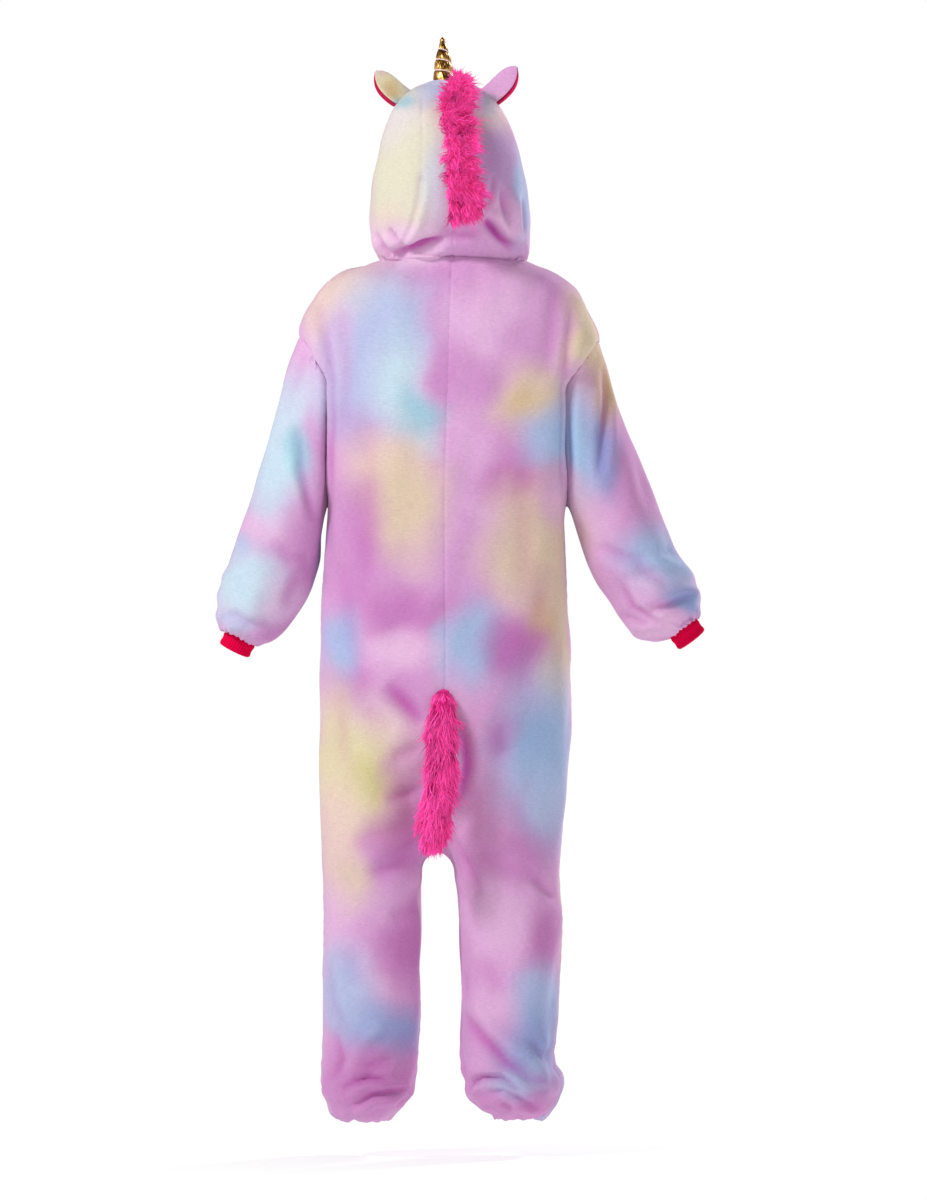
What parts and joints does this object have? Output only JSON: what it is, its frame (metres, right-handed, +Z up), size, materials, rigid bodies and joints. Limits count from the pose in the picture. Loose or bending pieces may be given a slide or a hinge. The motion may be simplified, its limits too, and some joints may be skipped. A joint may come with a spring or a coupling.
{
  "type": "unicorn onesie",
  "caption": "Child's hooded fleece onesie shown worn, in pastel tie-dye, with a fur mane and tail, ears, a gold horn, dropped shoulders and elasticated ankles.",
  "frame": {"origin": "between the shoulders, level with the neck seam, where the wearer's shoulders carry the garment", "axes": "+Z up the wearer's back to the horn; -Y out of the garment's front, +Y out of its back; +X to the wearer's left"},
  "size_m": [0.6346, 0.2511, 1.4104],
  "materials": {
    "fleece": "brushed polyester fleece, pastel tie-dye print",
    "rib": "rib knit",
    "ear_lining": "plain fleece",
    "gold_lame": "stuffed metallic cloth wound with thread",
    "fur": "shaggy acrylic fur",
    "zip_tape": "woven zip tape with coil teeth",
    "zip_metal": "nickel plated"
  },
  "bodies": {
    "garment": {"back_left": "fleece", "back_right": "fleece", "front_left": "fleece", "front_right": "fleece", "sleeve_left": "fleece", "sleeve_right": "fleece", "hood_left": "fleece", "hood_right": "fleece", "ear_left_back": "fleece", "ear_right_back": "fleece", "ear_left_front": "ear_lining", "ear_right_front": "ear_lining", "cuff_left": "rib", "cuff_right": "rib", "horn": "gold_lame", "mane": "fur", "tail": "fur", "front_zip": "zip_tape", "zip_slider": "zip_metal"},
    "pull": {"zip_pull": "zip_metal"}
  },
  "joints": [
    {"name": "zip_pull_swing", "type": "hinge", "parent": "garment", "child": "pull", "pos_m": [-0.00594, -0.09334, -0.05167], "axis": [-0.997, -0.0416, -0.0657], "range_deg": [0, 150]}
  ]
}
